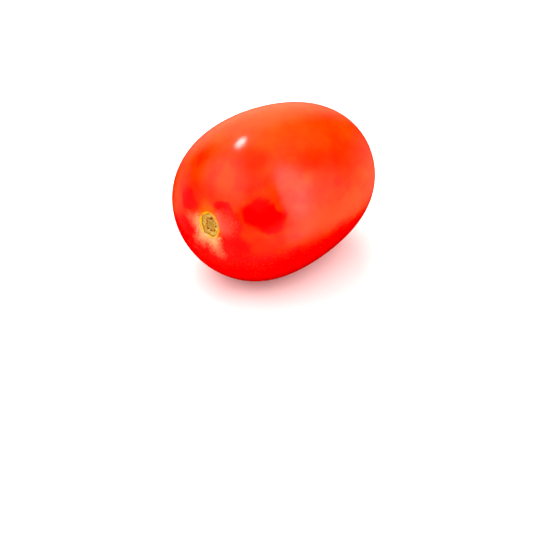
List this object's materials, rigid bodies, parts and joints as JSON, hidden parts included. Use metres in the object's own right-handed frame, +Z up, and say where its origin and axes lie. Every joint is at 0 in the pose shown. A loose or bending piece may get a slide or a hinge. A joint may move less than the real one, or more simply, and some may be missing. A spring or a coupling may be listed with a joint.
{
  "type": "plum tomato",
  "caption": "Ripe plum tomato, long and blunt-ended, lying on its side on a small flat spot, with a corky stem scar and a small blossom scar.",
  "frame": {"origin": "centre of the bounding box's underside, in the plane of the flat spot that the fruit lies on", "axes": "+X along the fruit from the stem end to the blossom end, +Y across it, +Z up"},
  "size_m": [0.0694, 0.052, 0.0517],
  "materials": {
    "tomato_skin": "smooth, waxy, glossy ripe skin in orange-red, with a dry tan scar where the stem was"
  },
  "bodies": {
    "root": {"tomato": "tomato_skin"}
  },
  "joints": []
}
